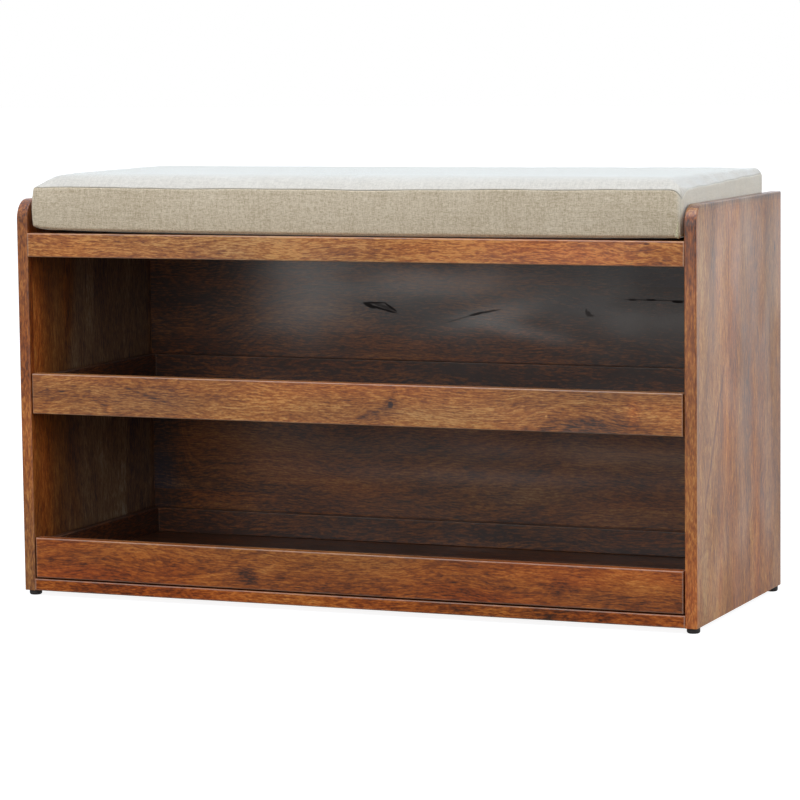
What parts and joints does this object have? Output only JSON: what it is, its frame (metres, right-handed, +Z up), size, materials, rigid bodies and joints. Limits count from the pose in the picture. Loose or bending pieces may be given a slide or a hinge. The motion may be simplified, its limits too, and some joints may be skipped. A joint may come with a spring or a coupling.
{
  "type": "entryway bench",
  "caption": "Low wooden shoe bench for an entryway, open-fronted, with pull-out shoe trays, raised sides and a loose boxed seat cushion.",
  "frame": {"origin": "on the floor under the middle of the bench", "axes": "+X to the right of a person facing the bench, -Y its front, +Z up"},
  "size_m": [0.9, 0.35, 0.5373],
  "materials": {
    "side_wood": "satin lacquer over chestnut stain, vertical grain",
    "rail_wood": "satin lacquer over chestnut stain, lengthwise grain, worn light edges",
    "case_wood": "satin lacquer over chestnut stain",
    "back_wood": "satin stain, lengthwise grain with knots",
    "runner_wood": "waxed bare hardwood",
    "dowel_wood": "bare beech",
    "zinc_steel": "zinc plated",
    "black_plastic": "moulded, slightly glossy",
    "linen": "plain-woven natural linen",
    "foam": "open-cell upholstery foam",
    "zip_tape": "woven tape with a moulded coil",
    "zip_metal": "nickel plated"
  },
  "bodies": {
    "case": {"left_side_panel": "side_wood", "right_side_panel": "side_wood", "bottom_panel": "case_wood", "seat_board": "case_wood", "seat_front_rail": "rail_wood", "back_panel": "back_wood", "bottom_panel_dowels": "dowel_wood", "seat_board_dowels": "dowel_wood", "seat_rail_dowels": "dowel_wood", "back_panel_screws": "zinc_steel", "runner_screws": "zinc_steel", "foot_nails": "zinc_steel", "lower_tray_left_runner": "runner_wood", "lower_tray_right_runner": "runner_wood", "upper_tray_left_runner": "runner_wood", "upper_tray_right_runner": "runner_wood", "foot_glide_front_left": "black_plastic", "foot_glide_front_right": "black_plastic", "foot_glide_rear_left": "black_plastic", "foot_glide_rear_right": "black_plastic"},
    "lower_tray": {"lower_tray_front_rail": "rail_wood", "lower_tray_left_side": "case_wood", "lower_tray_right_side": "case_wood", "lower_tray_back": "case_wood", "lower_tray_floor": "case_wood", "lower_tray_dowels": "dowel_wood", "lower_tray_corner_screws": "zinc_steel", "lower_tray_floor_screws": "zinc_steel"},
    "upper_tray": {"upper_tray_front_rail": "rail_wood", "upper_tray_left_side": "case_wood", "upper_tray_right_side": "case_wood", "upper_tray_back": "case_wood", "upper_tray_floor": "case_wood", "upper_tray_dowels": "dowel_wood", "upper_tray_corner_screws": "zinc_steel", "upper_tray_floor_screws": "zinc_steel"},
    "cushion": {"cushion_foam": "foam", "cushion_bottom_panel": "linen", "cushion_boxing": "linen", "cushion_top_panel": "linen", "cushion_zip": "zip_tape"},
    "zip_slider": {"zip_slider": "zip_metal", "zip_pull": "zip_metal"}
  },
  "joints": [
    {"name": "lower_tray_slide", "type": "slide", "parent": "case", "child": "lower_tray", "axis": [0, -1, 0], "range_m": [0, 0.25]},
    {"name": "upper_tray_slide", "type": "slide", "parent": "case", "child": "upper_tray", "axis": [0, -1, 0], "range_m": [0, 0.25]},
    {"name": "cushion_lift", "type": "slide", "parent": "case", "child": "cushion", "axis": [0, 0, 1], "range_m": [0, 0.15]},
    {"name": "zip_slide", "type": "slide", "parent": "cushion", "child": "zip_slider", "axis": [1, 0, 0], "range_m": [0, 0.67]}
  ]
}
